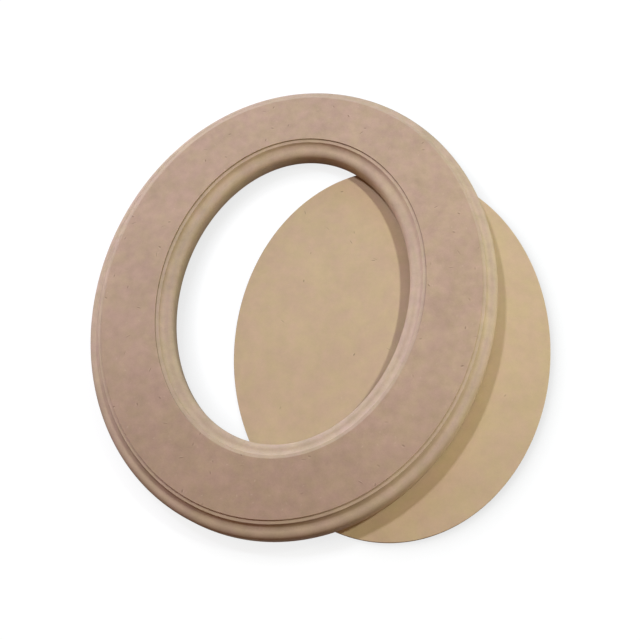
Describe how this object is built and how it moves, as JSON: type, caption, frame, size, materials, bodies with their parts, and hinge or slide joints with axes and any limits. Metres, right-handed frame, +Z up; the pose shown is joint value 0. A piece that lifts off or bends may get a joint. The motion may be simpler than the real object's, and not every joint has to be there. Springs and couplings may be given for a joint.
{
  "type": "oval picture frame",
  "caption": "Raw fibreboard oval picture frame, ogee-moulded along the opening and the outside, lying half over its loose oval back panel.",
  "frame": {"origin": "the middle of the back panel's underside, on the table that both pieces lie on", "axes": "X across the oval frame, towards the side where the panel sticks out; Y along the oval frame's long axis; Z up, from the table to the moulded face"},
  "size_m": [0.2845, 0.3, 0.0229],
  "materials": {
    "frame_board": "raw medium-density fibreboard, pinkish brown, with sparse dark and light fibre specks and a rougher routed moulding",
    "panel_board": "raw thin fibreboard, smooth and a little yellower than the frame"
  },
  "bodies": {
    "panel": {"back_panel": "panel_board"},
    "frame": {"oval_frame": "frame_board"}
  },
  "joints": [
    {"name": "frame_lift", "type": "slide", "parent": "panel", "child": "frame", "axis": [0, 0, 1], "range_m": [0, 0.06]}
  ]
}
